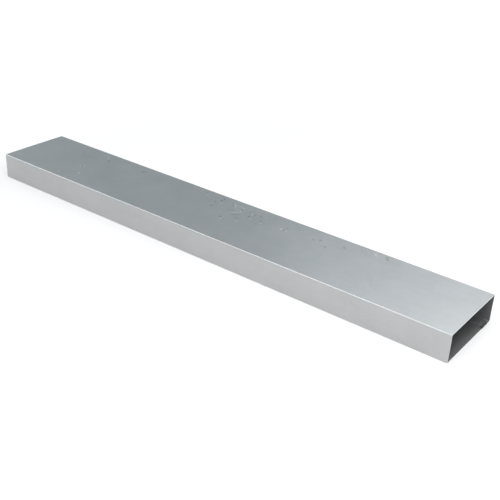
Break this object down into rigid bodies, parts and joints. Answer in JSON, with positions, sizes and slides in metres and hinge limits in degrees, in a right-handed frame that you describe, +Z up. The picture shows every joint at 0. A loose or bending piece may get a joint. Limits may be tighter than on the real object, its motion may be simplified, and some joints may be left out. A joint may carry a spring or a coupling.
{
  "type": "flat channel duct",
  "caption": "Straight flat rectangular air duct, folded from thin galvanised steel sheet, open at both ends, with a flat lock seam along its underside.",
  "frame": {"origin": "middle of the underside, on the surface that the duct lies on", "axes": "+X along the duct, +Y across it towards the wall beside the seam, +Z up"},
  "size_m": [1, 0.15, 0.05],
  "materials": {
    "galvanised_sheet": "satin"
  },
  "bodies": {
    "root": {"flat_channel_duct": "galvanised_sheet"}
  },
  "joints": []
}
